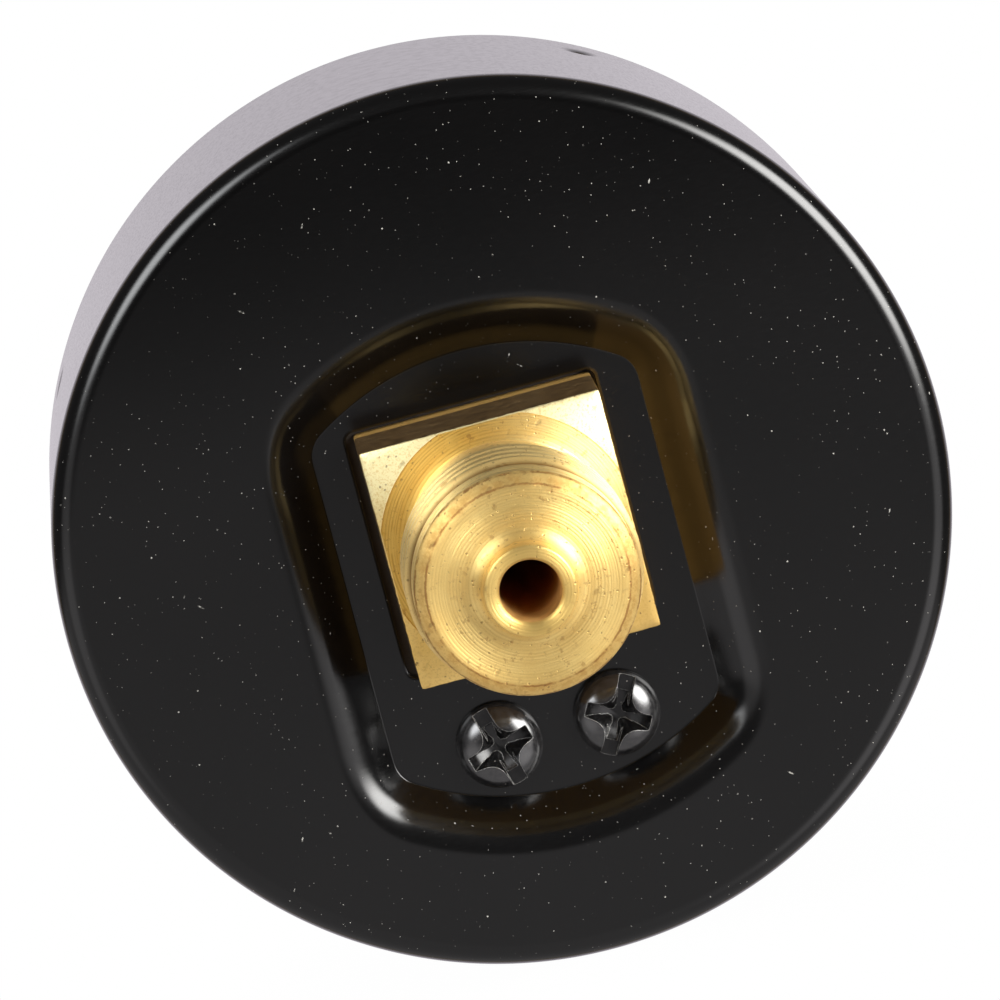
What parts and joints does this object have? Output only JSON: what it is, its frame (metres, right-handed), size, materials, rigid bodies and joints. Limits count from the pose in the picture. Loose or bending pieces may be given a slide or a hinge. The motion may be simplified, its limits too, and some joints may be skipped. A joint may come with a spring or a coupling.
{
  "type": "pressure gauge",
  "caption": "Back-connection bourdon-tube pressure gauge in a round black steel case, with a brass square and threaded stub at the centre of its back.",
  "frame": {"origin": "centre of the shoulder face of the 14 mm square, on the axis of the threaded stub", "axes": "+Y along the stub, out of the back of the gauge; +Z towards 12 o'clock, away from the two case screws; the dial faces -Y and +X is its right-hand side"},
  "size_m": [0.0516, 0.0437, 0.0516],
  "materials": {
    "case_enamel": "semi-gloss black stoving enamel with dust and fine scratches",
    "brass": "turned and milled brass, bright, with brown tarnish in corners and on the chamfer",
    "black_screw": "glossy black phosphated and oiled steel",
    "window_clear": "clear moulded polycarbonate",
    "dial_paint": "matt white dial paint with printed black scale",
    "steel": "turned steel",
    "brass_turned": "turned brass",
    "brass_sheet": "blanked brass sheet, brushed",
    "tube_bronze": "drawn phosphor bronze, slightly tarnished",
    "spring_bronze": "rolled phosphor bronze strip",
    "pointer_paint": "matt black paint"
  },
  "bodies": {
    "root": {"case": "case_enamel", "socket": "brass", "case_screws": "black_screw", "window": "window_clear", "dial": "dial_paint", "dial_screws": "steel", "dial_posts": "brass_turned", "stop_pin": "steel", "bourdon_tube": "tube_bronze", "hairspring": "spring_bronze", "hairspring_stud": "brass_turned", "bottom_plate": "brass_sheet", "top_plate": "brass_sheet", "pillars": "brass_turned", "pillar_screws": "steel", "movement_screws": "steel"},
    "sector": {"sector_gear": "brass_sheet", "sector_arbor": "steel", "link_rivet": "steel"},
    "pointer_shaft": {"pinion": "steel", "pointer_hub": "brass_turned", "pointer": "pointer_paint", "hairspring_collet": "brass_turned"},
    "tube_end": {"tube_tip": "brass_turned", "tip_screw": "steel"},
    "link": {"link": "steel"}
  },
  "joints": [
    {"name": "sector_swing", "type": "hinge", "parent": "root", "child": "sector", "pos_m": [0.0106, -0.013, -0.00836], "axis": [0, -1, 0], "range_deg": [0, 33.75]},
    {"name": "pointer_spin", "type": "hinge", "parent": "root", "child": "pointer_shaft", "pos_m": [0, -0.013, 0], "axis": [0, -1, 0], "range_deg": [-270, 0], "deforming": ["hairspring"]},
    {"name": "tube_flex", "type": "hinge", "parent": "root", "child": "tube_end", "pos_m": [-0.00354, -0.013, 0.00506], "axis": [0, -1, 0], "range_deg": [0, 6], "deforming": ["bourdon_tube"]},
    {"name": "link_swing", "type": "hinge", "parent": "sector", "child": "link", "pos_m": [0.01381, -0.013, -0.01036], "axis": [0, -1, 0], "range_deg": [-34.8, 0]}
  ],
  "couplings": [
    {"joint": "pointer_spin", "follows": "sector_swing", "ratio": -8},
    {"joint": "tube_flex", "follows": "sector_swing", "ratio": 0.17778},
    {"joint": "link_swing", "follows": "sector_swing", "ratio": -1.03}
  ]
}
